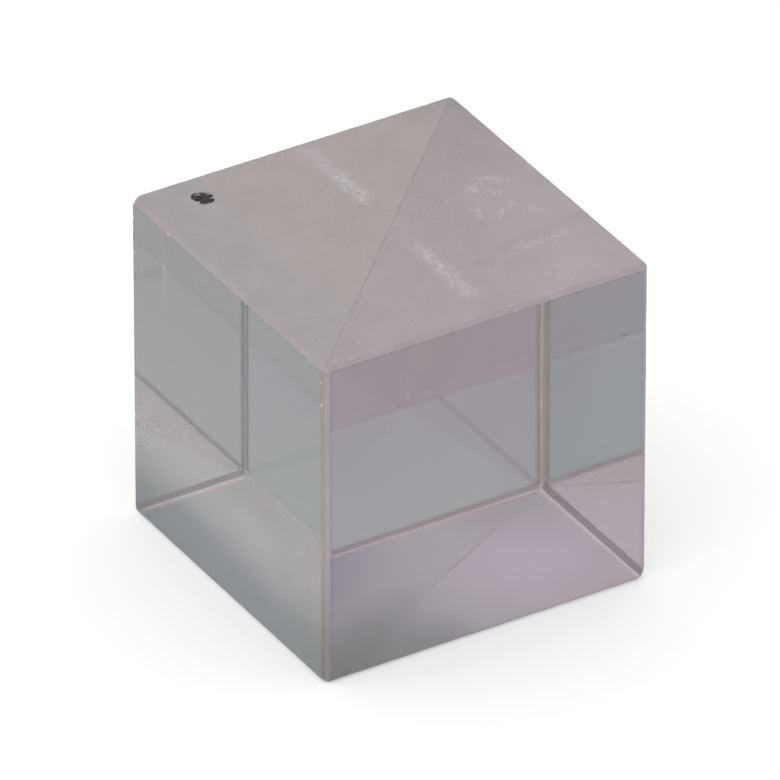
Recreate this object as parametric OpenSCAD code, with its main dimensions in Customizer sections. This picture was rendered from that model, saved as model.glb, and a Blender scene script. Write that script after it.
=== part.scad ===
// Cemented beamsplitter cube: two right-angle prisms joined at a coated hypotenuse.
// The origin is the centre of the bottom face, and +Z is up. The two ground faces are at
// the bottom and the top, and the four polished faces look along -X, +X, -Y and +Y.
// The joint stands on the diagonal plane X = Y. The coated prism is on its +Y side and the
// plain prism on its +X side. Every size is in millimetres.

/* [Cube] */
// Width of the cube across two opposite polished faces
cube_w = 25.4; // [12.7:0.1:50.8]
// Height from the ground bottom face to the ground top face
cube_h = 25; // [12.7:0.1:50.8]

/* [Joint] */
// Thickness of the splitter coating on the coated prism's hypotenuse
coating_t = 0.01; // [0.01:0.005:0.05]
// Thickness of the cement between the coating and the plain prism
cement_t = 0.02; // [0.01:0.005:0.1]

/* [Ground edges] */
// Leg of the bevel along each prism's right-angle edge
right_bevel = 0.5; // [0.2:0.05:1]
// Leg of the bevel along each prism's two sharp edges, measured on the polished face
sharp_bevel = 0.45; // [0.2:0.05:1]
// Leg of the bevels along the top and the bottom of the polished faces
end_bevel = 0.3; // [0.1:0.05:0.6]
// Leg of the fine bevel round the hypotenuse, where the ground faces meet the joint
seam_bevel = 0.03; // [0.02:0.01:0.2]
// Length that the nip takes off the edges at each right-angle corner
right_nip = 0.95; // [0.5:0.05:1.8]
// Length that the nip takes off the edges at each end of the joint
sharp_nip = 0.75; // [0.5:0.05:1.8]

/* [Index mark] */
// Distance from the mark's centre to the coated prism's -X face
mark_from_x = 4.1; // [2:0.1:4.5]
// Distance from the mark's centre to the coated prism's +Y face
mark_from_y = 2.8; // [2:0.1:4.5]
// Length of the scribbled mark
mark_l = 1.5; // [0.8:0.1:2]
// Width of one pen stroke
stroke_w = 0.24; // [0.1:0.02:0.4]
// Thickness of the dried ink
ink_t = 0.01; // [0.005:0.005:0.02]

/* [Hidden] */

half_w = cube_w / 2;
joint_t = coating_t + cement_t;
reach = 2 * max(cube_w, cube_h); // long enough to pass right through the cube
seam_turn = 45; // turns +X onto the joint
nip_tilt = acos(1 / sqrt(3)); // leans a nip's face equally towards the three faces it meets

// The pen's path, back and forth in short strokes, as shares of the mark's length
pen_path = [
    [-0.44, 0.12], [-0.02, 0.5], [-0.32, -0.02], [0.16, 0.4], [-0.12, 0.02], [0.36, 0.26],
    [0.06, -0.04], [0.46, 0.1], [-0.26, -0.42], [0.28, -0.36], [-0.1, -0.5]
];

// Square outline with a bevel of one leg at two opposite corners and of another at the others
function bevelled_square(w, a, b) = [
    [-w, a - w], [a - w, -w], [w - b, -w], [w, b - w],
    [w, w - a], [w - a, w], [b - w, w], [-w, w - b]
];

// Outline of a height by the cube's width, with the same bevel at its four corners
module end_outline() {
    translate([0, cube_h / 2])
        polygon([
            [-half_w, end_bevel - cube_h / 2], [end_bevel - half_w, -cube_h / 2],
            [half_w - end_bevel, -cube_h / 2], [half_w, end_bevel - cube_h / 2],
            [half_w, cube_h / 2 - end_bevel], [half_w - end_bevel, cube_h / 2],
            [end_bevel - half_w, cube_h / 2], [-half_w, cube_h / 2 - end_bevel]
        ]);
}

// Bar across the cube with the bevels of the top and the bottom of two polished faces
module end_bevelled_bar() {
    rotate([90, 0, 0])
        translate([0, 0, -reach / 2])
            linear_extrude(reach)
                end_outline();
}

// Block that stands outside one corner of the cube, its inner face across the corner
module nip_cutter(side_x, side_y, at_top, leg) {
    translate([side_x * (half_w - leg), side_y * half_w, at_top ? cube_h : 0])
        rotate([0, 0, atan2(side_y, side_x)])
            rotate([0, at_top ? nip_tilt : 180 - nip_tilt, 0])
                translate([-cube_w / 2, -cube_w / 2, 0])
                    cube(cube_w);
}

// The whole cube with every outer edge and corner ground
module ground_cube() {
    difference() {
        intersection() {
            linear_extrude(cube_h)
                polygon(bevelled_square(half_w, sharp_bevel, right_bevel));
            end_bevelled_bar();
            rotate([0, 0, 90])
                end_bevelled_bar();
        }
        for (side = [-1, 1], at_top = [false, true]) {
            nip_cutter(side, -side, at_top, right_nip);
            nip_cutter(side, side, at_top, sharp_nip);
        }
    }
}

// Everything on one side of the joint from a given distance on, with the fine seam bevels
module beyond_joint(distance) {
    rotate([0, 0, seam_turn])
        rotate([90, 0, 90])
            translate([0, 0, -reach / 2])
                linear_extrude(reach)
                    polygon([
                        [distance, seam_bevel], [distance + seam_bevel, 0], [reach, 0],
                        [reach, cube_h], [distance + seam_bevel, cube_h],
                        [distance, cube_h - seam_bevel]
                    ]);
}

// Thin layer in the joint that starts at a distance from the diagonal, ground with the cube
module joint_layer(from, thickness) {
    intersection() {
        ground_cube();
        rotate([0, 0, seam_turn])
            translate([-reach / 2, from, seam_bevel])
                cube([reach, thickness, cube_h - 2 * seam_bevel]);
    }
}

// One pen stroke with round ends
module pen_stroke(from, to) {
    run = to - from;
    translate(from) {
        circle(d = stroke_w, $fn = 32);
        rotate(atan2(run[1], run[0]))
            translate([0, -stroke_w / 2])
                square([norm(run), stroke_w]);
    }
    translate(to)
        circle(d = stroke_w, $fn = 32);
}

module coated_prism() {
    color([0.66, 0.68, 0.66])
        intersection() {
            ground_cube();
            beyond_joint(joint_t / 2);
        }
}

module plain_prism() {
    color([0.68, 0.64, 0.67])
        intersection() {
            ground_cube();
            rotate([0, 0, 180])
                beyond_joint(joint_t / 2);
        }
}

module splitter_coating() {
    color([0.45, 0.4, 0.36])
        joint_layer(joint_t / 2 - coating_t, coating_t);
}

module cement_layer() {
    color([0.8, 0.78, 0.7])
        joint_layer(-joint_t / 2, cement_t);
}

module index_mark() {
    color([0.2, 0.17, 0.16])
        translate([mark_from_x - half_w, half_w - mark_from_y, cube_h])
            linear_extrude(ink_t)
                for (i = [1:len(pen_path) - 1])
                    pen_stroke(mark_l * pen_path[i - 1], mark_l * pen_path[i]);
}

coated_prism();
plain_prism();
splitter_coating();
cement_layer();
index_mark();
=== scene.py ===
import math

import bmesh
import bpy
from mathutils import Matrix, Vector, noise


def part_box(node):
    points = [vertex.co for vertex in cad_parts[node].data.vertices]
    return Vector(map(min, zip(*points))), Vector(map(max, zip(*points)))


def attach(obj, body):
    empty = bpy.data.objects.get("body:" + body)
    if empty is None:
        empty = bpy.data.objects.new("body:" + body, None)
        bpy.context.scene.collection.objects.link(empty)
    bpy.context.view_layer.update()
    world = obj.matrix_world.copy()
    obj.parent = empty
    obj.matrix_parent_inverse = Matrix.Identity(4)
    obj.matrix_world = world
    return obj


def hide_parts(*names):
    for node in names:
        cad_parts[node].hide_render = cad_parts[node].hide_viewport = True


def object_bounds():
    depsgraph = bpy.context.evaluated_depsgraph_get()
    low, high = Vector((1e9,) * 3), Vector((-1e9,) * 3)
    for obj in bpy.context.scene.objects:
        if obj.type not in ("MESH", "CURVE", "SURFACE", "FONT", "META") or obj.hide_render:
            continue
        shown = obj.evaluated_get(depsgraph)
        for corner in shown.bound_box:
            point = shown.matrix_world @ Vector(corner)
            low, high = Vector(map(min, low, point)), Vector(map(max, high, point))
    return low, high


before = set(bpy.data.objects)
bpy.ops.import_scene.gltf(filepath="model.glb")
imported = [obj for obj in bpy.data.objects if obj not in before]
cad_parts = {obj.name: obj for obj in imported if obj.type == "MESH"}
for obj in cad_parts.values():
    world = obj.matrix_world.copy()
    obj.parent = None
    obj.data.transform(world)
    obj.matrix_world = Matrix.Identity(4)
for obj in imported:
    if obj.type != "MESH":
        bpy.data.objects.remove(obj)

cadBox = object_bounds()
scene = bpy.context.scene
mm = 0.001
cubeHalf = cadBox[1].x / mm  # from the centre to a polished face, in millimetres
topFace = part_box("coated_prism")[1].z / mm

cameraView = {
    "azimuth": -31.208,  # degrees, 0 looks along +Y
    "elevation": 32.529,
    "target": (0.05, -0.03, 12.31),  # mm
    "distance": 1152.1,  # mm
    "lens": 790.8,  # mm on a 36 mm sensor
}

stageSetup = {
    "floorDrop": 0.05,  # mm under the cube's ground face
    "floorHalf": 3000.0,  # mm
    "floorColour": (0.98, 0.98, 0.98, 1.0),
    "floorGlow": 0.35,  # how far the floor is plain white to the camera; the rest keeps the shadow
    "fill": 0.93,  # strength of the surroundings away from the soft box
    "softBox": 0.55,  # what the soft box adds at its middle
    "softBoxFrom": (-0.62, -0.18, 0.76),
    "softBoxEdge": 0.2,  # cosine at which the soft box has faded out
}


def makeCamera():
    azimuth = math.radians(cameraView["azimuth"])
    elevation = math.radians(cameraView["elevation"])
    back = Vector((
        math.sin(azimuth) * math.cos(elevation),
        -math.cos(azimuth) * math.cos(elevation),
        math.sin(elevation),
    ))
    data = bpy.data.cameras.new("camera")
    data.lens = cameraView["lens"]
    data.sensor_width = 36.0
    data.clip_start = 0.1
    data.clip_end = 20.0
    camera = bpy.data.objects.new("camera", data)
    camera.location = (Vector(cameraView["target"]) + back * cameraView["distance"]) * mm
    camera.rotation_mode = "QUATERNION"
    camera.rotation_quaternion = (-back).to_track_quat("-Z", "Y")
    scene.collection.objects.link(camera)
    scene.camera = camera


def plugIn(tree, socket, value):
    # a socket takes either another socket or a plain value
    if isinstance(value, bpy.types.NodeSocket):
        tree.links.new(value, socket)
    elif value is not None:
        socket.default_value = value


def mathStep(tree, operation, first, second=None, third=None, clamp=False):
    node = tree.nodes.new("ShaderNodeMath")
    node.operation = operation
    node.use_clamp = clamp
    for socket, value in zip(node.inputs, (first, second, third)):
        plugIn(tree, socket, value)
    return node.outputs[0]


def vectorStep(tree, operation, first, second=None, scale=None):
    node = tree.nodes.new("ShaderNodeVectorMath")
    node.operation = operation
    plugIn(tree, node.inputs[0], first)
    plugIn(tree, node.inputs[1], second)
    plugIn(tree, node.inputs[3], scale)
    return node.outputs[1 if operation in ("LENGTH", "DOT_PRODUCT") else 0]


def fadeBetween(tree, value, start, end, low=0.0, high=1.0):
    node = tree.nodes.new("ShaderNodeMapRange")
    node.interpolation_type = "SMOOTHSTEP"
    for label, given in zip(("Value", "From Min", "From Max", "To Min", "To Max"),
                            (value, start, end, low, high)):
        plugIn(tree, node.inputs[label], given)
    return node.outputs["Result"]


def blendColour(tree, factor, under, over, mode="MIX"):
    node = tree.nodes.new("ShaderNodeMix")
    node.data_type = "RGBA"
    node.blend_type = mode
    sockets = {socket.identifier: socket for socket in node.inputs}
    plugIn(tree, sockets["Factor_Float"], factor)
    plugIn(tree, sockets["A_Color"], under)
    plugIn(tree, sockets["B_Color"], over)
    return next(out for out in node.outputs if out.identifier == "Result_Color")


def splitAxes(tree, vector):
    node = tree.nodes.new("ShaderNodeSeparateXYZ")
    plugIn(tree, node.inputs[0], vector)
    return node.outputs["X"], node.outputs["Y"], node.outputs["Z"]


def noiseAt(tree, vector, scale, detail=2.0, roughness=0.5):
    node = tree.nodes.new("ShaderNodeTexNoise")
    plugIn(tree, node.inputs["Vector"], vector)
    plugIn(tree, node.inputs["Scale"], scale)
    plugIn(tree, node.inputs["Detail"], detail)
    plugIn(tree, node.inputs["Roughness"], roughness)
    return node.outputs["Fac"], node.outputs["Color"]


def tone(red, green, blue):
    # screen levels from 0 to 255 as a linear colour
    shares = [level / 255 for level in (red, green, blue)]
    return (*[s / 12.92 if s < 0.04045 else ((s + 0.055) / 1.055) ** 2.4 for s in shares], 1.0)


def grey(level):
    return (level, level, level, 1.0)


def makeWorld():
    # the camera, reflections and the glass see plain white; matt surfaces get a broad soft box
    world = bpy.data.worlds.new("softWhite")
    scene.world = world
    world.use_nodes = True
    tree = world.node_tree
    background = tree.nodes["Background"]
    path = tree.nodes.new("ShaderNodeLightPath")
    seen = mathStep(tree, "MAXIMUM", path.outputs["Is Camera Ray"], path.outputs["Is Glossy Ray"])
    seen = mathStep(tree, "MAXIMUM", seen, path.outputs["Is Transmission Ray"])
    direction = tree.nodes.new("ShaderNodeTexCoord").outputs["Generated"]
    middle = Vector(stageSetup["softBoxFrom"]).normalized()
    facing = vectorStep(tree, "DOT_PRODUCT", direction, middle)
    glow = fadeBetween(tree, facing, stageSetup["softBoxEdge"], 1.0)
    light = mathStep(tree, "MULTIPLY_ADD", glow, stageSetup["softBox"], stageSetup["fill"])
    strength = fadeBetween(tree, seen, 0.0, 1.0, light, 1.0)
    background.inputs["Color"].default_value = grey(1.0)
    tree.links.new(strength, background.inputs["Strength"])


def makeFloor():
    half = stageSetup["floorHalf"] * mm
    drop = -stageSetup["floorDrop"] * mm
    mesh = bpy.data.meshes.new("floor")
    corners = [(-half, -half, drop), (half, -half, drop), (half, half, drop), (-half, half, drop)]
    mesh.from_pydata(corners, [], [(0, 1, 2, 3)])
    floor = bpy.data.objects.new("floor", mesh)
    scene.collection.objects.link(floor)
    material = bpy.data.materials.new("paleFloor")
    material.use_nodes = True
    tree = material.node_tree
    paint = tree.nodes["Principled BSDF"]
    paint.inputs["Base Color"].default_value = stageSetup["floorColour"]
    paint.inputs["Roughness"].default_value = 1.0
    paint.inputs["Specular IOR Level"].default_value = 0.0
    path = tree.nodes.new("ShaderNodeLightPath")
    seen = mathStep(tree, "MULTIPLY", path.outputs["Is Camera Ray"], stageSetup["floorGlow"])
    seen = mathStep(tree, "MAXIMUM", seen, path.outputs["Is Glossy Ray"])
    seen = mathStep(tree, "MAXIMUM", seen, path.outputs["Is Transmission Ray"])
    white = tree.nodes.new("ShaderNodeEmission")
    white.inputs["Color"].default_value = grey(1.0)
    blend = tree.nodes.new("ShaderNodeMixShader")
    tree.links.new(seen, blend.inputs[0])
    tree.links.new(paint.outputs["BSDF"], blend.inputs[1])
    tree.links.new(white.outputs["Emission"], blend.inputs[2])
    tree.links.new(blend.outputs["Shader"], tree.nodes["Material Output"].inputs["Surface"])
    mesh.materials.append(material)


makeCamera()
scene.view_settings.view_transform = "Standard"
scene.cycles.denoising_input_passes = "RGB"  # what lies behind clear glass only confuses the others
scene.cycles.min_light_bounces = 10
scene.cycles.min_transparent_bounces = 16
scene.cycles.max_bounces = 32
scene.cycles.transmission_bounces = 24
scene.cycles.glossy_bounces = 24
scene.cycles.transparent_max_bounces = 64
makeWorld()
makeFloor()
print("stage: camera, floor and soft light")


def newGroup(name, inputs, outputs):
    group = bpy.data.node_groups.new(name, "ShaderNodeTree")
    for label, kind, value in inputs:
        socket = group.interface.new_socket(label, in_out="INPUT", socket_type="NodeSocket" + kind)
        socket.default_value = value
    for label, kind in outputs:
        group.interface.new_socket(label, in_out="OUTPUT", socket_type="NodeSocket" + kind)
    entry = group.nodes.new("NodeGroupInput")
    leave = group.nodes.new("NodeGroupOutput")
    return group, entry.outputs, leave.inputs


def useGroup(tree, group, **values):
    node = tree.nodes.new("ShaderNodeGroup")
    node.node_tree = group
    for label, value in values.items():
        plugIn(tree, node.inputs[label], value)
    return node.outputs


def awayFromSegment(tree, place, start, end):
    # distance from the line between two points, and how far along it the nearest point lies
    run = vectorStep(tree, "SUBTRACT", end, start)
    offset = vectorStep(tree, "SUBTRACT", place, start)
    along = vectorStep(tree, "DOT_PRODUCT", offset, run)
    share = mathStep(tree, "DIVIDE", along, vectorStep(tree, "DOT_PRODUCT", run, run), clamp=True)
    nearest = vectorStep(tree, "SCALE", run, scale=share)
    return vectorStep(tree, "LENGTH", vectorStep(tree, "SUBTRACT", offset, nearest)), share


zero = (0.0, 0.0, 0.0)
alongLine = [("Position", "Vector", zero), ("Start", "Vector", zero), ("End", "Vector", zero)]


def patchGroup():
    # mask of a broad, soft patch of colour along a line
    group, given, result = newGroup(
        "softPatch", [*alongLine, ("Reach", "Float", 3.0)], [("Mask", "Float")],
    )
    away, _ = awayFromSegment(group, given["Position"], given["Start"], given["End"])
    group.links.new(fadeBetween(group, away, given["Reach"], 0.0), result["Mask"])
    return group


def strokeGroup():
    # mask of a line, for rubbed scuffs on the ground top and for painted reflection and shadow lines on
    # the polished faces: soft sides, a waver, speckle, and an end that may be fainter
    group, given, result = newGroup(
        "scuffAndPaintedLine",
        [*alongLine, ("Width", "Float", 0.3), ("Softness", "Float", 0.1), ("Waver", "Float", 0.0),
         ("Speckle", "Float", 0.0), ("SpeckleScale", "Float", 8.0), ("EndStrength", "Float", 1.0)],
        [("Mask", "Float")],
    )
    _, drift = noiseAt(group, given["Position"], 0.9)
    drift = vectorStep(group, "SUBTRACT", drift, (0.5, 0.5, 0.5))
    drift = vectorStep(group, "SCALE", drift, scale=given["Waver"])
    place = vectorStep(group, "ADD", given["Position"], drift)
    away, share = awayFromSegment(group, place, given["Start"], given["End"])
    inner = mathStep(group, "MULTIPLY", given["Width"], 0.5)
    outer = mathStep(group, "ADD", inner, given["Softness"])
    body = fadeBetween(group, away, outer, inner)
    dots, _ = noiseAt(group, given["Position"], given["SpeckleScale"], 1.0)
    dots = fadeBetween(group, dots, 0.46, 0.62)
    solid = mathStep(group, "SUBTRACT", 1.0, given["Speckle"])
    cover = mathStep(group, "MULTIPLY_ADD", dots, given["Speckle"], solid)
    loss = mathStep(group, "SUBTRACT", given["EndStrength"], 1.0)
    cover = mathStep(group, "MULTIPLY", cover, mathStep(group, "MULTIPLY_ADD", share, loss, 1.0))
    group.links.new(mathStep(group, "MULTIPLY", body, cover), result["Mask"])
    return group


def grainGroup():
    # the fine grain of a ground surface: a shade near 1 and a height for the bump
    group, given, result = newGroup(
        "groundGrain",
        [("Position", "Vector", zero), ("Fine", "Float", 4.5),
         ("Coarse", "Float", 0.35), ("Strength", "Float", 0.25)],
        [("Shade", "Float"), ("Height", "Float")],
    )
    fine, _ = noiseAt(group, given["Position"], given["Fine"], 3.0, 0.75)
    coarse, _ = noiseAt(group, given["Position"], given["Coarse"], 4.0, 0.6)
    both = mathStep(group, "MULTIPLY_ADD", coarse, 0.5, fine)
    centred = mathStep(group, "SUBTRACT", both, 0.75)
    shade = mathStep(group, "MULTIPLY_ADD", centred, given["Strength"], 1.0)
    group.links.new(shade, result["Shade"])
    group.links.new(fine, result["Height"])
    return group


def edgeGroup():
    # mask of the crushed rim of a polished face, where it meets the ground bevels
    group, given, result = newGroup(
        "crushedRim",
        [("Position", "Vector", zero), ("Half", "Float", 12.7), ("Height", "Float", 25.0),
         ("SideBevel", "Float", 0.5), ("EndBevel", "Float", 0.3), ("Reach", "Float", 0.15),
         ("Speckle", "Float", 0.5)],
        [("Mask", "Float")],
    )
    across, along, up = splitAxes(group, vectorStep(group, "ABSOLUTE", given["Position"]))
    sideways = mathStep(group, "MINIMUM", across, along)
    fromSide = mathStep(group, "SUBTRACT", given["Half"], sideways)
    fromSide = mathStep(group, "SUBTRACT", fromSide, given["SideBevel"])
    fromEnd = mathStep(group, "MINIMUM", up, mathStep(group, "SUBTRACT", given["Height"], up))
    fromEnd = mathStep(group, "SUBTRACT", fromEnd, given["EndBevel"])
    away = mathStep(group, "MINIMUM", fromSide, fromEnd)
    rough, _ = noiseAt(group, given["Position"], 3.5, 3.0, 0.6)
    reach = mathStep(group, "MULTIPLY", given["Reach"], mathStep(group, "MULTIPLY", rough, 2.0))
    body = fadeBetween(group, away, reach, 0.0)
    dots, _ = noiseAt(group, given["Position"], 7.0, 2.0)
    dots = fadeBetween(group, dots, 0.4, 0.6)
    solid = mathStep(group, "SUBTRACT", 1.0, given["Speckle"])
    cover = mathStep(group, "MULTIPLY_ADD", dots, given["Speckle"], solid)
    group.links.new(mathStep(group, "MULTIPLY", body, cover), result["Mask"])
    return group


softPatch = patchGroup()
scuffAndPaintedLine = strokeGroup()
groundGrain = grainGroup()
crushedRim = edgeGroup()


def newMaterial(name):
    material = bpy.data.materials.new(name)
    material.use_nodes = True
    tree = material.node_tree
    shader = tree.nodes["Principled BSDF"]
    place = tree.nodes.new("ShaderNodeTexCoord").outputs["Object"]
    spot = vectorStep(tree, "SCALE", place, scale=1 / mm)  # position in millimetres
    return material, tree, shader, spot


def fromInside(tree):
    return tree.nodes.new("ShaderNodeNewGeometry").outputs["Backfacing"]


def seenMirrored(tree):
    # 1 where the eye meets the surface by way of a mirroring face of the glass
    light = tree.nodes.new("ShaderNodeLightPath")
    return mathStep(tree, "SUBTRACT", light.outputs["Is Reflection Ray"],
                    light.outputs["Is Diffuse Ray"], clamp=True)


def laidOn(tree, spot, colour, patches, height):
    # soft patches of colour over a flat face: start, end, reach in millimetres, colour, strength
    for start, end, reach, over, strength in patches:
        mask = useGroup(tree, softPatch, Position=spot, Start=(*start, height), End=(*end, height),
                        Reach=reach)["Mask"]
        mask = mathStep(tree, "MULTIPLY", mask, strength)
        colour = blendColour(tree, mask, colour, (*over[:3], 1.0))
    return colour


polishedGlass = {
    "ior": 1.517,
    "coating": (0.16, 0.08, 0.18, 1.0),  # what the anti-reflection coating leaves, a faint purple
    "rimReach": 0.2,  # mm
    "rimShade": (0.22, 0.3),  # seen from outside and from inside
    # the level line is a painted shadow edge, with a painted dark line and a painted light line beside it
    "lineWidth": 0.28,  # mm, of the level line
    "lineRise": 0.1,  # mm, from the level to the dark line's middle
    "liftRise": -0.35,  # mm, the same for the light line beside it
    "lineSoft": 0.08,  # mm
    "smear": 0.03,  # most that a wiping mark adds to the roughness
    "smearScale": 0.35,  # per mm
    "smearCover": (0.4, 0.75),  # noise levels where a wiping mark starts and where it is full
    "rimGrey": 0.3,
}

# painted light and shade of the surroundings as a polished face shows them from inside: tints from its
# foot to a level line, a painted shadow edge, and on to its head.
# "mirror" is the painted reflection change that another face's mirroring adds, at the foot and at the head
paintedBackLight = {
    "y": {
        "level": 9.85,
        "foot": (0.376, 0.416, 0.405), "under": (0.362, 0.376, 0.372),
        "over": (0.353, 0.338, 0.352), "head": (0.353, 0.338, 0.352),
        "line": (0.96, 0.94, 0.96), "lift": (1.03, 1.04, 1.03),
        "mirror": ((0.84, 0.945, 0.92), (0.94, 0.98, 0.98)),
    },
    "x": {
        "level": 10.8,
        "foot": (0.374, 0.368, 0.402), "under": (0.370, 0.356, 0.397),
        "over": (0.342, 0.342, 0.347), "head": (0.322, 0.326, 0.332),
        "line": (0.95, 0.955, 0.95), "lift": (1.01, 1.01, 1.02),
        "mirror": ((0.99, 0.965, 0.935), (0.985, 0.965, 0.93)),
    },
}

# "turn" is -1 where the face looks the other way. "foot": the painted shade that the lower edge adds to
# the outside tint, and the height in millimetres where that has gone. Painted lines, of painted
# reflections, shadow edges and shade of the surroundings and one painted highlight: start and end as
# across and up in millimetres, width, softness, colour, strength left at the end
faceLooks = {
    "coatedBack": {  # +Y
        "across": "x", "turn": 1, "outside": (0.95, 0.96, 0.95),
        "paintedLines": [
            ((4.5, 9.7), (1.0, 14.0), 0.3, 0.12, (0.97, 0.94, 0.97), 0.4),
            ((11.5, 1.0), (11.5, 9.0), 2.0, 3.5, (0.97, 0.94, 0.955), 0.6),
        ],
    },
    "plainBack": {  # +X
        "across": "y", "turn": 1, "outside": (0.96, 0.92, 0.96),
        "paintedLines": [
            ((2.0, 10.5), (-2.0, 7.6), 0.35, 0.12, (0.88, 0.89, 0.87), 0.7),
            # a painted highlight, a small bright star, and under it a painted reflection streak up the
            # face
            ((2.0, 10.6), (2.0, 10.8), 0.15, 0.12, (1.5, 1.5, 1.5), 1.0),
            ((2.05, 7.6), (2.05, 13.6), 0.3, 0.12, (1.10, 1.12, 1.12), 0.5),
            ((1.6, 8.5), (0.2, 3.0), 0.6, 1.0, (1.03, 1.03, 1.04), 0.0),
        ],
    },
    "plainFront": {  # -Y
        "across": "x", "turn": -1, "outside": (0.97, 0.91, 0.97), "foot": ((0.96, 0.96, 0.95), 4.0),
        "paintedLines": [
            ((-3.8, 10.6), (3.7, 19.8), 0.26, 0.12, (0.94, 0.84, 0.91), 0.8),
            ((-10.7, 20.05), (-10.6, 20.1), 0.16, 0.12, (0.98, 0.78, 0.92), 1.0),
            ((12.6, 0.0), (11.0, 0.5), 1.5, 4.5, (0.80, 0.86, 0.79), 1.0),
            ((12.6, 8.0), (9.5, 8.8), 0.8, 1.6, (1.0, 0.95, 1.06), 0.4),
            ((8.0, 3.5), (3.0, 1.0), 0.6, 3.0, (0.90, 0.92, 0.91), 0.7),
        ],
    },
    "coatedFront": {  # -X
        "across": "y", "turn": -1, "outside": (0.88, 0.905, 0.885), "foot": ((0.80, 0.81, 0.835), 7.5),
        "paintedLines": [
            ((2.0, 10.9), (11.25, 17.5), 0.35, 0.12, (0.93, 0.95, 0.93), 1.0),
            ((-12.4, 20.4), (-8.6, 20.0), 0.5, 0.12, (0.96, 0.97, 0.96), 1.0),
            ((-12.6, 2.0), (-7.0, 4.0), 1.0, 2.5, (0.93, 0.95, 0.95), 0.6),
        ],
    },
}


def onFace(look, across, up):
    # a point of the face as a position in millimetres
    place = look["turn"] * across
    side = look["turn"] * cubeHalf
    return (place, side, up) if look["across"] == "x" else (side, place, up)


def makePolished(name):
    face = faceLooks[name]
    look = paintedBackLight["y" if face["across"] == "x" else "x"]
    material, tree, glass, spot = newMaterial(name + "Glass")
    height = splitAxes(tree, spot)[2]
    level = look["level"]
    half = polishedGlass["lineWidth"] / 2
    # painted shade and light of the surroundings seen through the far face: one tint from the foot to the
    # level line, another from there to the head
    low = blendColour(tree, mathStep(tree, "DIVIDE", height, level, clamp=True),
                      (*look["foot"], 1.0), (*look["under"], 1.0))
    rise = mathStep(tree, "SUBTRACT", height, level)
    rise = mathStep(tree, "DIVIDE", rise, topFace - level, clamp=True)
    high = blendColour(tree, rise, (*look["over"], 1.0), (*look["head"], 1.0))
    change = fadeBetween(tree, height, level - half, level + polishedGlass["lineRise"])
    tint = blendColour(tree, change, low, high)
    # the painted dark shadow line at the level and the painted light line beside it
    for key in ("line", "lift"):
        middle = level + polishedGlass[key + "Rise"]
        off = mathStep(tree, "ABSOLUTE", mathStep(tree, "SUBTRACT", height, middle))
        onLine = fadeBetween(tree, off, half + polishedGlass["lineSoft"], half * 0.5)
        tint = blendColour(tree, onLine, tint, (*look[key], 1.0), "MULTIPLY")
    # a painted reflection change where the face is seen by way of another face's mirroring
    mirror = blendColour(tree, mathStep(tree, "DIVIDE", height, topFace, clamp=True),
                         *((*shade, 1.0) for shade in look["mirror"]))
    tint = blendColour(tree, seenMirrored(tree), tint, mirror, "MULTIPLY")
    front = (*face["outside"], 1.0)
    # painted shade on the outside tint towards the foot
    if "foot" in face:
        foot, reach = face["foot"]
        atFoot = tuple(part * share for part, share in zip(face["outside"], foot))
        front = blendColour(tree, fadeBetween(tree, height, reach, 0.0), front, (*atFoot, 1.0))
    inner = fromInside(tree)
    tint = blendColour(tree, inner, front, tint)
    # painted reflection, shadow and shade lines of the surroundings, and one painted highlight
    for start, end, width, softness, over, left in face["paintedLines"]:
        mask = useGroup(tree, scuffAndPaintedLine, Position=spot, Start=onFace(face, *start),
                        End=onFace(face, *end), Width=width, Softness=softness, Waver=0.1,
                        EndStrength=left)["Mask"]
        tint = blendColour(tree, mask, tint, (*over, 1.0), "MULTIPLY")
    rim = useGroup(tree, crushedRim, Position=spot, Half=cubeHalf, Height=topFace,
                   Reach=polishedGlass["rimReach"])["Mask"]
    shade = fadeBetween(tree, inner, 0.0, 1.0, *polishedGlass["rimShade"])
    rimmed = mathStep(tree, "MULTIPLY", rim, shade)
    tint = blendColour(tree, rimmed, tint, grey(polishedGlass["rimGrey"]), "MULTIPLY")
    colour = blendColour(tree, 1.0, tint, tint, "MULTIPLY")  # refraction takes the square root
    tree.links.new(colour, glass.inputs["Base Color"])
    smear, _ = noiseAt(tree, spot, polishedGlass["smearScale"])
    smear = fadeBetween(tree, smear, *polishedGlass["smearCover"], 0.0, polishedGlass["smear"])
    tree.links.new(smear, glass.inputs["Roughness"])
    glass.inputs["IOR"].default_value = polishedGlass["ior"]
    glass.inputs["Transmission Weight"].default_value = 1.0
    glass.inputs["Specular Tint"].default_value = polishedGlass["coating"]
    return material


# for each kind of ground face: roughness, the share of the light let through, how strong the grain
# is in the colour, and the strength of its bump
groundKinds = {
    "top": (0.62, 0.2, 0.5, 0.25),
    "bottom": (0.82, 0.9, 0.12, 0.03),
    "bevel": (0.62, 0.15, 0.5, 0.25),
    "foot": (0.7, 0.4, 0.5, 0.25),
    "chip": (0.5, 0.35, 0.5, 0.25),
}
roughnessSpread = 0.12
grainDepth = 0.01  # mm, of the bump


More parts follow.
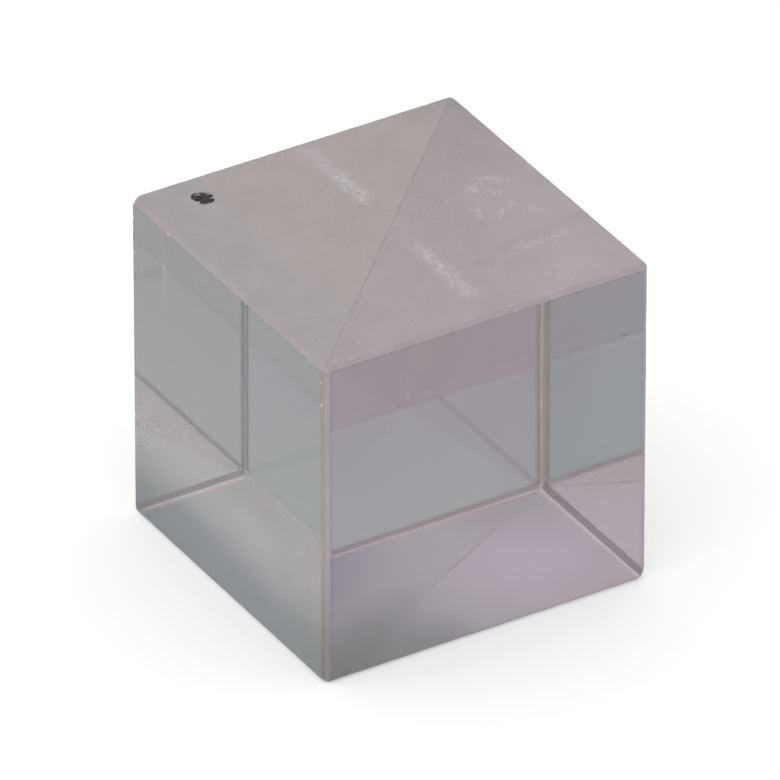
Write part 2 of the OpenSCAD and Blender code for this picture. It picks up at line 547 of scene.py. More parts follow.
def makeGround(name, kind, outside, inside, rougher=None):
    roughness, clear, grainShare, bumpShare = groundKinds[kind]
    material, tree, shader, spot = newMaterial(name)
    grain = useGroup(tree, groundGrain, Position=spot, Strength=grainShare)
    colour = blendColour(tree, fromInside(tree), outside(tree, spot), inside(tree, spot))
    shaded = vectorStep(tree, "SCALE", colour, scale=grain["Shade"])
    tree.links.new(shaded, shader.inputs["Base Color"])
    bump = tree.nodes.new("ShaderNodeBump")
    bump.inputs["Distance"].default_value = grainDepth * mm
    bump.inputs["Strength"].default_value = bumpShare
    tree.links.new(grain["Height"], bump.inputs["Height"])
    tree.links.new(bump.outputs["Normal"], shader.inputs["Normal"])
    rough = mathStep(tree, "MULTIPLY_ADD", grain["Height"], roughnessSpread,
                     roughness - roughnessSpread / 2)
    if rougher:
        rough = mathStep(tree, "ADD", rough, rougher(tree, spot))
    tree.links.new(rough, shader.inputs["Roughness"])
    shader.inputs["IOR"].default_value = polishedGlass["ior"]
    shader.inputs["Transmission Weight"].default_value = clear
    return material


topLook = {
    "coated": tone(158, 150, 149),
    "plain": tone(157, 147, 151),
    # start, end, reach in millimetres, colour, strength
    "coatedPatches": [
        ((-12.0, 12.0), (-12.0, -10.0), 7.0, tone(153, 147, 149), 0.7),
        ((2.0, 4.5), (9.0, 11.5), 2.8, tone(160, 151, 146), 0.8),
        ((-9.3, 1.2), (-7.1, 1.0), 1.2, tone(154, 152, 160), 0.4),
        ((9.0, 12.2), (12.0, 12.4), 2.2, tone(142, 135, 137), 0.5),
    ],
    "plainPatches": [
        ((11.5, 9.5), (7.5, 7.5), 6.0, tone(151, 140, 145), 0.8),
        ((12.2, 12.0), (12.6, 9.5), 2.2, tone(138, 133, 136), 0.6),
        ((12.0, -3.0), (8.0, -11.5), 8.0, tone(162, 153, 156), 0.9),
        ((2.5, 2.0), (9.0, 4.5), 3.0, tone(155, 144, 149), 0.5),
    ],
    # start, end, width, softness, strength, strength left at the end, speckle, colour
    "coatedMarks": [
        ((0.45, 11.6), (0.6, 7.0), 0.2, 0.4, 0.2, 1.0, 0.9, "white"),
        ((0.6, 11.3), (0.6, 4.5), 0.5, 0.9, 0.08, 1.0, 0.0, "white"),
        ((0.6, 7.6), (0.55, 4.0), 0.5, 0.5, 0.3, 1.0, 1.0, "white"),
        ((-11.8, -0.2), (-6.0, 4.0), 0.03, 0.06, 0.15, 1.8, 0.2, "dark"),
        ((-6.0, 4.0), (0.1, 7.6), 0.03, 0.06, 0.3, 0.8, 0.2, "dark"),
    ],
    "plainMarks": [
        ((0.5, -2.0), (0.5, -9.4), 0.5, 0.9, 0.08, 1.0, 0.0, "white"),
        ((0.45, -2.2), (0.5, -6.2), 0.3, 0.5, 0.2, 1.4, 1.0, "white"),
        ((0.5, -6.0), (0.45, -9.4), 0.5, 0.5, 0.3, 1.0, 1.0, "white"),
        ((8.2, 2.6), (9.9, 1.6), 0.35, 0.4, 0.24, 1.0, 1.0, "white"),
        ((7.6, 1.6), (8.8, 0.3), 0.35, 0.5, 0.3, 0.8, 1.0, "white"),
        ((6.3, -0.4), (6.1, -1.9), 0.3, 0.4, 0.27, 1.0, 1.0, "white"),
        ((6.8, -2.4), (8.9, -1.3), 0.3, 0.35, 0.25, 1.0, 1.0, "white"),
        ((5.9, -6.4), (9.7, -6.2), 0.8, 0.6, 0.2, 0.8, 1.0, "white"),
        ((5.4, -6.0), (11.9, -5.0), 0.5, 0.7, 0.2, 0.9, 0.3, "dark"),
        ((3.1, -6.6), (3.7, -7.0), 0.4, 0.5, 0.2, 1.0, 0.3, "dark"),
        ((8.3, -1.8), (8.7, -2.2), 0.2, 0.5, 0.2, 1.0, 0.4, "tan"),
        ((9.3, -4.7), (9.7, -4.9), 0.2, 0.5, 0.2, 1.0, 0.4, "tan"),
    ],
    "white": tone(200, 199, 204),
    "dark": tone(120, 111, 113),
    "tan": tone(170, 150, 130),
    "inside": grey(0.93),
}


def makeTop(name, key):
    def outside(tree, spot):
        colour = laidOn(tree, spot, topLook[key], topLook[key + "Patches"], topFace)
        for start, end, width, softness, strength, left, speckle, over in topLook[key + "Marks"]:
            mask = useGroup(tree, scuffAndPaintedLine, Position=spot, Start=(*start, topFace),
                            End=(*end, topFace), Width=width, Softness=softness, Waver=0.25,
                            Speckle=speckle, SpeckleScale=4.5, EndStrength=left)["Mask"]
            mask = mathStep(tree, "MULTIPLY", mask, strength)
            colour = blendColour(tree, mask, colour, topLook[over])
        return colour

    return makeGround(name, "top", outside, lambda tree, spot: topLook["inside"])


bottomColourAndPaintedLight = {
    "outside": tone(166, 160, 160),
    # painted shade and light of the bottom seen from inside, from the dark side at -X to the bright one at
    # +X: colours, and where the change runs, in mm
    "coated": ((0.44, 0.47, 0.52, 1.0), (0.92, 0.89, 0.94, 1.0), -8.5, 3.5),
    "plain": ((0.44, 0.48, 0.48, 1.0), (0.96, 0.88, 0.96, 1.0), -8.0, 3.5),
    # the same painted shade and light by way of a mirroring face
    "coatedMirror": ((0.36, 0.42, 0.44, 1.0), (1.0, 0.92, 0.89, 1.0), -11.0, 7.0),
    "plainMirror": ((0.46, 0.52, 0.50, 1.0), (1.0, 0.89, 0.95, 1.0), -8.0, 2.0),
    # painted shade near the corners and the sides, painted light patches and painted glowing lines along
    # the back edges: start, end, reach in millimetres, colour, strength
    "coatedPatches": [
        ((-12.0, 12.0), (-12.0, -12.0), 3.0, (0.42, 0.48, 0.53), 0.6),
        ((-12.4, 12.4), (-6.0, 10.0), 6.0, (0.40, 0.46, 0.48), 0.5),
        ((-12.4, -12.4), (-6.0, -8.0), 7.0, (0.34, 0.40, 0.36), 0.8),
        ((12.4, 12.4), (8.0, 10.5), 5.0, (0.76, 0.71, 0.71), 0.7),
        ((-10.0, 12.5), (12.4, 12.5), 0.9, (1.0, 0.77, 0.75), 1.0),
    ],
    "plainPatches": [
        ((-12.4, -12.4), (-5.0, -11.0), 7.0, (0.34, 0.40, 0.35), 0.8),
        ((0.0, -6.0), (2.0, -11.5), 4.0, (0.74, 0.74, 0.76), 0.6),
        ((7.0, 1.5), (8.0, -3.0), 5.0, (1.0, 0.89, 1.0), 1.0),
        ((12.4, 12.4), (10.5, 8.0), 5.0, (0.78, 0.73, 0.77), 0.7),
        ((12.5, -12.0), (12.5, 12.4), 0.8, (1.0, 0.93, 0.88), 1.0),
    ],
    # start, end, reach in millimetres, added roughness: rougher glass gathers more light
    "rougher": [
        ((-12.4, 12.5), (12.4, 12.5), 0.8, 0.32),
        ((12.5, -12.4), (12.5, 12.4), 0.6, 0.2),
        ((7.0, 1.5), (8.0, -3.0), 5.0, 0.03),
    ],
    "mirrorRougher": 0.02,
}


def makeBottom(name, key):
    def slope(tree, spot, look):
        dark, bright, start, end = bottomColourAndPaintedLight[look]
        return blendColour(tree, fadeBetween(tree, splitAxes(tree, spot)[0], start, end), dark, bright)

    # the bottom's inside colour: painted light and shade
    def inside(tree, spot):
        colour = laidOn(tree, spot, slope(tree, spot, key), bottomColourAndPaintedLight[key + "Patches"], 0.0)
        return blendColour(tree, seenMirrored(tree), colour, slope(tree, spot, key + "Mirror"))

    def rougher(tree, spot):
        mirrored = seenMirrored(tree)
        total = 0.0
        for start, end, reach, amount in bottomColourAndPaintedLight["rougher"]:
            mask = useGroup(tree, softPatch, Position=spot, Start=(*start, 0.0), End=(*end, 0.0),
                            Reach=reach)["Mask"]
            total = mathStep(tree, "MULTIPLY_ADD", mask, amount, total)
        total = mathStep(tree, "MULTIPLY", total, mathStep(tree, "SUBTRACT", 1.0, mirrored))
        return mathStep(tree, "MULTIPLY_ADD", mirrored, bottomColourAndPaintedLight["mirrorRougher"], total)

    return makeGround(name, "bottom", lambda tree, spot: bottomColourAndPaintedLight["outside"], inside, rougher)


# a painted sheen: how ground glass shows from inside at a slant, where the slanted look starts and ends,
# as one less the cosine of the angle
paintedSheenReach = (0.11, 0.155, 0.64, 0.72)

# the long flats are dimmer towards the foot: by how much, and where that starts and ends, in mm
flatFoot = (0.66, 10.0, 1.5)

# kind of ground glass, outside colour, inside colour, and the inside colour seen straight on or
# by way of a mirroring face, where that is another one. The inside colours are painted light and shade:
# lit and shaded copies of the bevel's glass
bevelColourAndPaintedLight = {
    "coatedCorner": ("bevel", tone(148, 142, 142), (0.24, 0.27, 0.28), None),
    "coatedFlat": ("bevel", tone(148, 139, 139), (0.88, 0.84, 0.75), (0.46, 0.52, 0.53)),
    "coatedEnd": ("bevel", tone(156, 147, 147), (0.80, 0.79, 0.80), None),
    "coatedFoot": ("bevel", tone(156, 147, 147), (0.95, 0.88, 0.88), None),
    "plainCorner": ("bevel", tone(150, 146, 152), (0.28, 0.27, 0.29), None),
    "plainFlat": ("bevel", tone(153, 146, 152), (0.96, 0.92, 0.81), (0.46, 0.52, 0.53)),
    "plainEnd": ("bevel", tone(154, 144, 149), (0.75, 0.70, 0.72), None),
    "plainFoot": ("foot", tone(154, 144, 149), (1.0, 0.97, 0.99), (0.46, 0.45, 0.47)),
}


def makeBevel(name):
    kind, over, slanted, straight = bevelColourAndPaintedLight[name]

    # painted light and shade: the bevel's inside colour, with a painted sheen by slant and a painted
    # reflection change by way of a mirroring face
    def inside(tree, spot):
        if straight is None:
            return (*slanted, 1.0)
        if name.endswith("Foot"):
            return blendColour(tree, seenMirrored(tree), (*slanted, 1.0), (*straight, 1.0))
        facing = tree.nodes.new("ShaderNodeLayerWeight").outputs["Facing"]
        start, full, fading, end = paintedSheenReach
        slant = mathStep(tree, "MULTIPLY", fadeBetween(tree, facing, start, full),
                         fadeBetween(tree, facing, end, fading))
        return blendColour(tree, slant, (*straight, 1.0), (*slanted, 1.0))

    def outside(tree, spot):
        if not name.endswith("Flat"):
            return over
        dim, start, end = flatFoot
        share = fadeBetween(tree, splitAxes(tree, spot)[2], start, end)
        return blendColour(tree, share, over, (*[part * dim for part in over[:3]], 1.0))

    return makeGround(name + "Bevel", kind, outside, inside)


# the thin line where the two prisms meet, darker towards the far corner
seamLook = {
    "front": tone(158, 150, 151),
    "back": tone(146, 134, 137),
    "reach": (-13.0, 9.0),  # mm along x, from the front colour to the back one
    # painted light: from inside, the seam bevel and its foot are bright, standing for light coming in
    # through the groove
    "inside": (0.75, 0.70, 0.74, 1.0),
    "foot": (0.85, 0.81, 0.85, 1.0),
}


def makeSeam():
    def outside(tree, spot):
        along = fadeBetween(tree, splitAxes(tree, spot)[0], *seamLook["reach"])
        return blendColour(tree, along, seamLook["front"], seamLook["back"])

    return makeGround("seamBevel", "bevel", outside, lambda tree, spot: seamLook["inside"])


def makeSeamFoot():
    return makeGround("seamFootBevel", "bottom", lambda tree, spot: bottomColourAndPaintedLight["outside"],
                      lambda tree, spot: seamLook["foot"])


def makeJointFace():
    # the glass runs on into the cement and the coating, so nothing shows at this face
    material = bpy.data.materials.new("jointFace")
    material.use_nodes = True
    tree = material.node_tree
    tree.nodes.remove(tree.nodes["Principled BSDF"])
    clear = tree.nodes.new("ShaderNodeBsdfTransparent")
    tree.links.new(clear.outputs["BSDF"], tree.nodes["Material Output"].inputs["Surface"])
    return material


chipLook = {
    "outside": tone(186, 180, 181),
    "inside": (0.60, 0.58, 0.58, 1.0),
}


def makeChipped():
    return makeGround("chippedGlass", "chip", lambda tree, spot: chipLook["outside"],
                      lambda tree, spot: chipLook["inside"])


def newGrower(name, inputs):
    # an empty Geometry Nodes tree with named inputs
    tree = bpy.data.node_groups.new(name, "GeometryNodeTree")
    tree.interface.new_socket("Geometry", in_out="INPUT", socket_type="NodeSocketGeometry")
    for label, kind, value in inputs:
        socket = tree.interface.new_socket(label, in_out="INPUT", socket_type="NodeSocket" + kind)
        if value is not None:
            socket.default_value = value
    tree.interface.new_socket("Geometry", in_out="OUTPUT", socket_type="NodeSocketGeometry")
    entry = tree.nodes.new("NodeGroupInput")
    leave = tree.nodes.new("NodeGroupOutput")
    return tree, entry.outputs, leave.inputs


def addNode(tree, kind, settings=None, **values):
    node = tree.nodes.new(kind)
    for label, value in (settings or {}).items():
        setattr(node, label, value)
    for label, value in values.items():
        plugIn(tree, node.inputs[label], value)
    return node


def grown(source, tree, values, name):
    # runs the tree on an object and returns the result as a plain mesh
    modifier = source.modifiers.new(name, "NODES")
    modifier.node_group = tree
    for item in tree.interface.items_tree:
        if item.item_type == "SOCKET" and item.in_out == "INPUT" and item.name in values:
            modifier[item.identifier] = values[item.name]
    scene.collection.objects.link(source)
    view = bpy.context.evaluated_depsgraph_get()
    mesh = bpy.data.meshes.new_from_object(source.evaluated_get(view), depsgraph=view)
    source.modifiers.remove(modifier)
    scene.collection.objects.unlink(source)
    mesh.name = name
    return mesh


def randomIn(tree, low, high, seed, kind="FLOAT"):
    node = tree.nodes.new("FunctionNodeRandomValue")
    node.data_type = kind
    sockets = {socket.name: socket for socket in node.inputs if socket.enabled}
    if kind == "BOOLEAN":
        plugIn(tree, sockets["Probability"], low)
    else:
        plugIn(tree, sockets["Min"], low)
        plugIn(tree, sockets["Max"], high)
    plugIn(tree, sockets["Seed"], seed)
    return next(socket for socket in node.outputs if socket.enabled)


prismCut = {
    "jointGap": 0.002,  # mm between a prism and the layers in the joint
    "step": 0.3,  # mm between two points of a ground edge
    "waver": 0.012,  # mm
    "waverScale": 1.3,  # per mm
    "stillEnd": 0.8,  # mm, over which the waver fades towards an edge's ends
    "longEdge": 5.0,  # mm, shorter edges keep clear of chips
}

bevelKinds = ("corner", "flat", "end", "endFoot", "seam", "seamFoot")

edgeChips = {
    "Spacing": 0.9 * mm,  # between two places where a chip may sit
    "Share": 0.55,  # of those places that have one
    "Smallest": 0.07 * mm,
    "Largest": 0.24 * mm,
    "Depth": 0.3,  # share of a chip's radius that reaches under the edge
    "Scatter": 0.05 * mm,
}


def chipTree():
    # small shells knocked out along the ground edges
    tree, given, result = newGrower("edgeChips", [
        ("Spacing", "Float", 0.001), ("Share", "Float", 0.5), ("Smallest", "Float", 0.0001),
        ("Largest", "Float", 0.0002), ("Depth", "Float", 0.3), ("Scatter", "Float", 0.0001),
        ("Seed", "Int", 1), ("Chipped", "Material", None),
    ])
    marked = addNode(tree, "GeometryNodeInputNamedAttribute", {"data_type": "BOOLEAN"}, Name="chipEdge")
    outward = tree.nodes.new("GeometryNodeInputNormal").outputs["Normal"]
    kept = addNode(tree, "GeometryNodeStoreNamedAttribute",
                   {"data_type": "FLOAT_VECTOR", "domain": "POINT"},
                   Geometry=given["Geometry"], Name="outward", Value=outward)
    lines = addNode(tree, "GeometryNodeMeshToCurve", Mesh=kept.outputs["Geometry"],
                    Selection=marked.outputs["Attribute"])
    places = addNode(tree, "GeometryNodeCurveToPoints", {"mode": "LENGTH"},
                     Curve=lines.outputs["Curve"], Length=given["Spacing"])
    unlucky = mathStep(tree, "SUBTRACT", 1.0, given["Share"])
    dropped = randomIn(tree, unlucky, None, given["Seed"], "BOOLEAN")
    thinned = addNode(tree, "GeometryNodeDeleteGeometry", {"domain": "POINT"},
                      Geometry=places.outputs["Points"], Selection=dropped)
    seeds = [mathStep(tree, "ADD", given["Seed"], step) for step in (1, 2, 3)]
    low = vectorStep(tree, "SCALE", (-1.0, -1.0, -1.0), scale=given["Scatter"])
    high = vectorStep(tree, "SCALE", (1.0, 1.0, 1.0), scale=given["Scatter"])
    jump = randomIn(tree, low, high, seeds[0], "FLOAT_VECTOR")
    dice = randomIn(tree, 0.0, 1.0, seeds[1])
    skewed = mathStep(tree, "POWER", dice, 2.5)  # many small chips, few large ones
    spread = mathStep(tree, "SUBTRACT", given["Largest"], given["Smallest"])
    radius = mathStep(tree, "MULTIPLY_ADD", skewed, spread, given["Smallest"])
    stand = mathStep(tree, "SUBTRACT", 1.0, given["Depth"])
    lift = mathStep(tree, "MULTIPLY", radius, stand)
    away = addNode(tree, "GeometryNodeInputNamedAttribute", {"data_type": "FLOAT_VECTOR"}, Name="outward")
    aside = vectorStep(tree, "SCALE", away.outputs["Attribute"], scale=lift)
    moved = addNode(tree, "GeometryNodeSetPosition", Geometry=thinned.outputs["Geometry"],
                    Offset=vectorStep(tree, "ADD", aside, jump))
    shell = addNode(tree, "GeometryNodeMeshIcoSphere", Radius=1.0, Subdivisions=2)
    painted = addNode(tree, "GeometryNodeSetMaterial", Geometry=shell.outputs["Mesh"],
                      Material=given["Chipped"])
    turned = randomIn(tree, (0.0, 0.0, 0.0), (6.28, 6.28, 6.28), seeds[2], "FLOAT_VECTOR")
    shape = randomIn(tree, (0.7, 0.7, 0.7), (1.3, 1.3, 1.3), seeds[2], "FLOAT_VECTOR")
    chips = addNode(tree, "GeometryNodeInstanceOnPoints", Points=moved.outputs["Geometry"],
                    Instance=painted.outputs["Geometry"], Rotation=turned,
                    Scale=vectorStep(tree, "SCALE", shape, scale=radius))
    solid = addNode(tree, "GeometryNodeRealizeInstances", Geometry=chips.outputs["Instances"])
    both = {"Mesh 1": kept.outputs["Geometry"], "Mesh 2": solid.outputs["Geometry"]}
    cut = addNode(tree, "GeometryNodeMeshBoolean", {"operation": "DIFFERENCE", "solver": "EXACT"},
                  **both, **{"Self Intersection": True})
    whole = addNode(tree, "GeometryNodeRealizeInstances", Geometry=cut.outputs["Mesh"])
    ofChips = addNode(tree, "GeometryNodeMaterialSelection", Material=given["Chipped"])
    final = addNode(tree, "GeometryNodeSetMaterial", Geometry=whole.outputs["Geometry"],
                    Selection=ofChips.outputs["Selection"], Material=given["Chipped"])
    tree.links.new(final.outputs["Geometry"], result["Geometry"])
    return tree


def faceKind(normal, toJoint):
    x, y, z = (round(part, 1) for part in normal)
    flat = {
        (0, 0, 1): "top", (0, 0, -1): "bottom", (-1, 0, 0): "coatedFront", (0, 1, 0): "coatedBack",
        (0, -1, 0): "plainFront", (1, 0, 0): "plainBack",
    }
    if (x, y, z) in flat:
        return flat[(x, y, z)]
    towards = normal.dot(toJoint)
    if abs(z) < 0.1:
        if towards > 0.9:
            return "joint"
        return "corner" if towards < -0.9 else "flat"
    kind = "seam" if towards > 0.6 else "end"
    return kind if z > 0 else kind + "Foot"


def splitEdge(edge, parts):
    # equal parts, and the new points between them
    first, last = edge.verts
    points = []
    for left in range(parts, 1, -1):
        points.append(bmesh.utils.edge_split(edge, first, 1 / left)[1])
        first = points[-1]
        edge = next(part for part in first.link_edges if part.other_vert(first) is last)
    return points


def markRims(work, kinds, joint):
    # the rims where a flat face meets a bevel, with that face; chips may sit on the long ones
    chipped = work.edges.layers.bool.new("chipEdge")
    rims = []
    for edge in work.edges:
        pair = [kinds[face] for face in edge.link_faces]
        flats = [face for face in edge.link_faces if kinds[face] not in bevelKinds]
        if len(flats) == 1 and flats[0] is not joint:
            rims.append((edge, flats[0]))
            onSeam = "seam" in pair or "seamFoot" in pair
            edge[chipped] = not onSeam and edge.calc_length() > prismCut["longEdge"] * mm
    return rims


def waveRims(rims):
    # new points along each rim, moved a few microns within its flat face
    moves = []
    for edge, flat in rims:
        length = edge.calc_length() / mm
        start, end = (vert.co.copy() for vert in edge.verts)
        along = (end - start).normalized()
        inward = along.cross(flat.normal)
        if inward.dot(flat.calc_center_median() - start) < 0:
            inward = -inward
        for vert in splitEdge(edge, int(length / prismCut["step"])):
            place = (vert.co - start).dot(along) / mm
            still = prismCut["stillEnd"]
            ends = min(1.0, place / still, (length - place) / still)
            depth = prismCut["waver"] * noise.noise(vert.co / mm * prismCut["waverScale"]) * 2
            moves.append((vert, inward * depth * ends * mm))
    for vert, move in moves:
        vert.co += move


def makePrism(nodeName, pieceName, side, seed, materials):
    work = bmesh.new()
    work.from_mesh(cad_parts[nodeName].data)
    bmesh.ops.remove_doubles(work, verts=work.verts, dist=1e-7)
    bmesh.ops.dissolve_limit(work, angle_limit=math.radians(0.5), verts=work.verts, edges=work.edges)
    bmesh.ops.recalc_face_normals(work, faces=work.faces)
    toJoint = Vector((1, -1, 0)).normalized() * side
    kinds = {face: faceKind(face.normal, toJoint) for face in work.faces}
    joint = next(face for face, kind in kinds.items() if kind == "joint")
    for vert in joint.verts:
        vert.co -= toJoint * prismCut["jointGap"] * mm
    waveRims(markRims(work, kinds, joint))
    slots = {name: index for index, name in enumerate(materials)}
    for face, kind in kinds.items():
        face.material_index = slots[kind]
        face.smooth = False
    bmesh.ops.triangulate(work, faces=[face for face, kind in kinds.items() if kind in bevelKinds])
    mesh = bpy.data.meshes.new(pieceName + "Plain")
    work.to_mesh(mesh)
    work.free()
    for material in materials.values():
        mesh.materials.append(material)
    plain = bpy.data.objects.new(pieceName + "Plain", mesh)
    chippedMesh = grown(plain, chips, {**edgeChips, "Seed": seed, "Chipped": chippedGlass}, pieceName)
    piece = bpy.data.objects.new(pieceName, chippedMesh)
    bpy.data.objects.remove(plain)
    scene.collection.objects.link(piece)
    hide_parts(nodeName)
    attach(piece, "root")
    print(f"{pieceName}: {len(piece.data.vertices)} points, {len(piece.data.polygons)} faces")


chippedGlass = makeChipped()
chips = chipTree()
jointFace = makeJointFace()
seam = makeSeam()
seamFoot = makeSeamFoot()


def prismMaterials(key):
    return {
        key + "Front": makePolished(key + "Front"),
        key + "Back": makePolished(key + "Back"),
        "top": makeTop(key + "Top", key),
        "bottom": makeBottom(key + "Bottom", key),
        "corner": makeBevel(key + "Corner"),
        "flat": makeBevel(key + "Flat"),
        "end": makeBevel(key + "End"),
        "endFoot": makeBevel(key + "Foot"),
        "seam": seam,
        "seamFoot": seamFoot,
        "joint": jointFace,
    }


makePrism("coated_prism", "coatedPrism", 1, 5, prismMaterials("coated"))
makePrism("plain_prism", "plainPrism", -1, 17, prismMaterials("plain"))


jointLook = {
    "coatingCover": 0.2,  # on each of the coating's two sides
    "coatingTint": (0.80, 0.78, 0.76),
    "cementCover": 0.02,
    "cementTint": (0.75, 0.70, 0.55),
    "endTint": (0.36, 0.33, 0.33),  # where the layers come out between the two prisms
    "endDepth": 0.003,  # mm
    "patchScale": 0.25,  # per mm
    "patchShade": (0.94, 1.06),
}


def layerEnds(tree, spot, box):
    # 1 on the narrow ends of a layer, 0 on its two broad sides
    past = jointLook["endDepth"]
    found = 0.0
    for place, low, high in zip(splitAxes(tree, spot), box[0] / mm, box[1] / mm):
        over = mathStep(tree, "GREATER_THAN", place, high - past)
        under = mathStep(tree, "LESS_THAN", place, low + past)
        found = mathStep(tree, "MAXIMUM", found, mathStep(tree, "MAXIMUM", over, under))
    return found


def dressJoint(nodeName, cover, tint, metallic):
    material, tree, shader, spot = newMaterial(nodeName + "Film")
    patchy, _ = noiseAt(tree, spot, jointLook["patchScale"])
    shade = fadeBetween(tree, patchy, 0.3, 0.7, *jointLook["patchShade"])
    atEnd = layerEnds(tree, spot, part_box(nodeName))
    colour = vectorStep(tree, "SCALE", tint, scale=shade)
    colour = blendColour(tree, atEnd, colour, (*jointLook["endTint"], 1.0))
    tree.links.new(colour, shader.inputs["Base Color"])
    alpha = mathStep(tree, "MAXIMUM", mathStep(tree, "MULTIPLY", shade, cover), atEnd)
    tree.links.new(alpha, shader.inputs["Alpha"])
    shader.inputs["Metallic"].default_value = metallic
    shader.inputs["Roughness"].default_value = 0.0
    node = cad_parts[nodeName]
    node.data.materials.clear()
    node.data.materials.append(material)


dressJoint("splitter_coating", jointLook["coatingCover"], jointLook["coatingTint"], 1.0)
dressJoint("cement_layer", jointLook["cementCover"], jointLook["cementTint"], 0.0)
print("joint: coating and cement")


inkMark = {
    "middle": (-8.58, 9.9),  # mm
    "length": 1.4,  # mm, of the pen's swing
    # where the pen turns, as shares of that length from the middle
    "turns": [(-0.42, 0.12), (-0.06, 0.44), (-0.38, 0.16), (0.02, 0.40), (-0.34, 0.06), (-0.32, -0.02),
              (0.14, 0.38), (-0.14, 0.02), (0.32, 0.26), (0.04, -0.04), (0.40, 0.10), (-0.24, -0.38),
              (0.26, -0.34), (0.06, -0.40), (0.28, -0.30), (-0.08, -0.44)],
    "width": 0.34,  # mm
    "fleckScale": 3.4,  # per mm
    "thinning": (0.25, 0.8),  # mm from the middle, where bare flecks start and where they are most
    "bare": (0.3, 0.42),  # noise levels under which the glass is bare, near the middle and far out
    "wornScale": 2.6,  # per mm
    "wornShare": 0.7,
    "gloss": 0.25,
    "roughness": (0.45, 0.75),
    "ink": tone(40, 32, 30),
    "thin": tone(84, 76, 74),
}

inkFlow = {
    "Step": 0.03 * mm,
    "Thickness": 0.004 * mm,
    "Vary": 0.6,  # how much the width changes along the line
    "Shake": 0.05 * mm,
    "Climb": 0.0045 * mm,  # how much higher the last stroke lies than the first
}


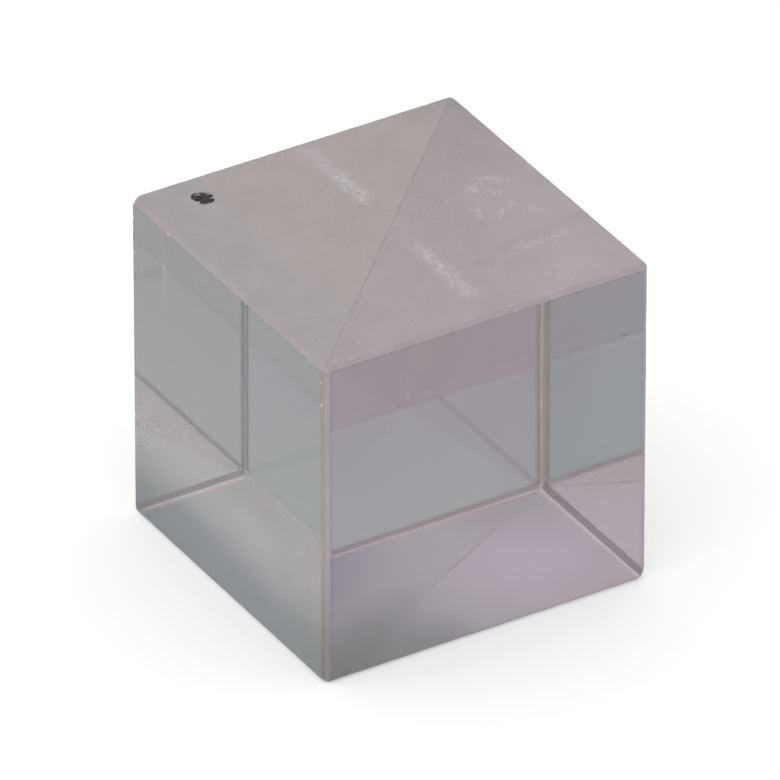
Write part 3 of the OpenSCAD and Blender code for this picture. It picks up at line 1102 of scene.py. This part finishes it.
def inkTree():
    # a flat ribbon of ink along the pen's path
    tree, given, result = newGrower("penRibbon", [
        ("Step", "Float", 0.00003), ("Width", "Float", 0.0002), ("Thickness", "Float", 0.000004),
        ("Vary", "Float", 0.5), ("Shake", "Float", 0.00004), ("Climb", "Float", 0.000004),
        ("Seed", "Float", 3.0), ("Ink", "Material", None),
    ])
    path = addNode(tree, "GeometryNodeResampleCurve", {"mode": "LENGTH"}, Curve=given["Geometry"],
                   Length=given["Step"])
    place = tree.nodes.new("GeometryNodeInputPosition").outputs["Position"]
    scaled = vectorStep(tree, "SCALE", place, scale=1 / mm)
    shifted = vectorStep(tree, "ADD", scaled, given["Seed"])
    thick, _ = noiseAt(tree, shifted, 2.4, 2.0)
    _, wander = noiseAt(tree, shifted, 1.6, 2.0)
    wander = vectorStep(tree, "SUBTRACT", wander, (0.5, 0.5, 0.5))
    wander = vectorStep(tree, "SCALE", wander, scale=mathStep(tree, "MULTIPLY", given["Shake"], 2.0))
    wander = vectorStep(tree, "MULTIPLY", wander, (1.0, 1.0, 0.0))
    share = tree.nodes.new("GeometryNodeSplineParameter").outputs["Factor"]
    up = addNode(tree, "ShaderNodeCombineXYZ", Z=mathStep(tree, "MULTIPLY", share, given["Climb"]))
    offset = vectorStep(tree, "ADD", wander, up.outputs["Vector"])
    shaken = addNode(tree, "GeometryNodeSetPosition", Geometry=path.outputs["Curve"], Offset=offset)
    level = addNode(tree, "GeometryNodeSetCurveNormal", {"mode": "Z_UP"}, Curve=shaken.outputs["Geometry"])
    centred = mathStep(tree, "SUBTRACT", thick, 0.5)
    swell = mathStep(tree, "MULTIPLY", centred, mathStep(tree, "MULTIPLY", given["Vary"], 2.0))
    swell = mathStep(tree, "ADD", swell, 0.75)
    fromEnd = mathStep(tree, "MINIMUM", share, mathStep(tree, "SUBTRACT", 1.0, share))
    taper = fadeBetween(tree, fromEnd, 0.0, 0.02, 0.35, 1.0)
    radius = mathStep(tree, "MULTIPLY", swell, taper)
    sized = addNode(tree, "GeometryNodeSetCurveRadius", Curve=level.outputs["Curve"], Radius=radius)
    profile = addNode(tree, "GeometryNodeCurvePrimitiveQuadrilateral", Width=given["Width"],
                      Height=given["Thickness"])
    ribbon = addNode(tree, "GeometryNodeCurveToMesh", Curve=sized.outputs["Curve"],
                     **{"Profile Curve": profile.outputs["Curve"], "Fill Caps": True})
    plain = addNode(tree, "GeometryNodeRealizeInstances", Geometry=ribbon.outputs["Mesh"])
    inked = addNode(tree, "GeometryNodeSetMaterial", Geometry=plain.outputs["Geometry"],
                    Material=given["Ink"])
    tree.links.new(inked.outputs["Geometry"], result["Geometry"])
    return tree


def makeInk():
    material, tree, shader, spot = newMaterial("driedInk")
    shader.inputs["Specular IOR Level"].default_value = inkMark["gloss"]
    grain, _ = noiseAt(tree, spot, inkMark["wornScale"], 3.0, 0.7)
    worn = fadeBetween(tree, grain, 0.5, 0.72, 0.0, inkMark["wornShare"])
    tree.links.new(blendColour(tree, worn, inkMark["ink"], inkMark["thin"]), shader.inputs["Base Color"])
    tree.links.new(fadeBetween(tree, grain, 0.3, 0.7, *inkMark["roughness"]), shader.inputs["Roughness"])
    flecks, _ = noiseAt(tree, spot, inkMark["fleckScale"], 2.0, 0.6)
    apart = vectorStep(tree, "SUBTRACT", spot, (*inkMark["middle"], topFace))
    apart = vectorStep(tree, "LENGTH", apart)
    thinning = fadeBetween(tree, apart, *inkMark["thinning"], *inkMark["bare"])
    above = mathStep(tree, "SUBTRACT", flecks, thinning)
    tree.links.new(fadeBetween(tree, above, 0.0, 0.05), shader.inputs["Alpha"])
    return material


def makeMark():
    curve = bpy.data.curves.new("penPath", "CURVE")
    curve.dimensions = "3D"
    curve.resolution_u = 8
    stroke = curve.splines.new("BEZIER")
    stroke.bezier_points.add(len(inkMark["turns"]) - 1)
    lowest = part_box("index_mark")[0].z + inkFlow["Thickness"] / 2 + 0.0008 * mm
    for point, (right, back) in zip(stroke.bezier_points, inkMark["turns"]):
        x = inkMark["middle"][0] + right * inkMark["length"]
        y = inkMark["middle"][1] + back * inkMark["length"]
        point.co = (x * mm, y * mm, lowest)
        point.handle_left_type = point.handle_right_type = "AUTO"
    pen = bpy.data.objects.new("penPath", curve)
    values = {**inkFlow, "Width": inkMark["width"] * mm, "Ink": makeInk()}
    mesh = grown(pen, inkTree(), values, "inkMark")
    bpy.data.objects.remove(pen)
    piece = bpy.data.objects.new("inkMark", mesh)
    scene.collection.objects.link(piece)
    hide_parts("index_mark")
    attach(piece, "root")
    return piece


mark = makeMark()
print(f"index mark: {len(mark.data.vertices)} points, {len(mark.data.polygons)} faces")
